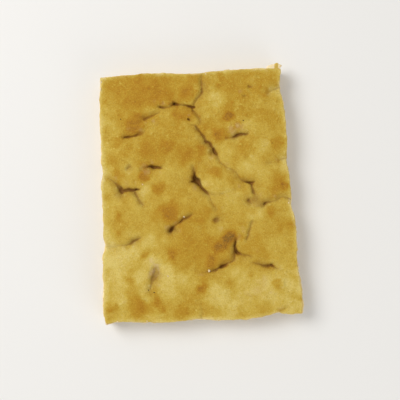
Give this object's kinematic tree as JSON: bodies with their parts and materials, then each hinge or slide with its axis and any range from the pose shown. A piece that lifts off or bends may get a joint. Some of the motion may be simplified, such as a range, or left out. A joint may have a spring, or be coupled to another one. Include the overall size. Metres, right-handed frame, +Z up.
{
  "type": "focaccia slab",
  "caption": "Rectangular slab of flat yeast bread with a golden dimpled crust, closed folds across the top, knife-cut walls and a flat base; eaten by hand.",
  "frame": {"origin": "middle of the flat base, under the middle of the slab's bounding box", "axes": "+Z up through the crust, +Y along the longer side, +X along the shorter side"},
  "size_m": [0.1624, 0.2102, 0.0218],
  "materials": {
    "bread": "matte golden baked crust with browned patches, over pale open crumb on the cut walls"
  },
  "bodies": {
    "root": {"focaccia": "bread"}
  },
  "joints": []
}
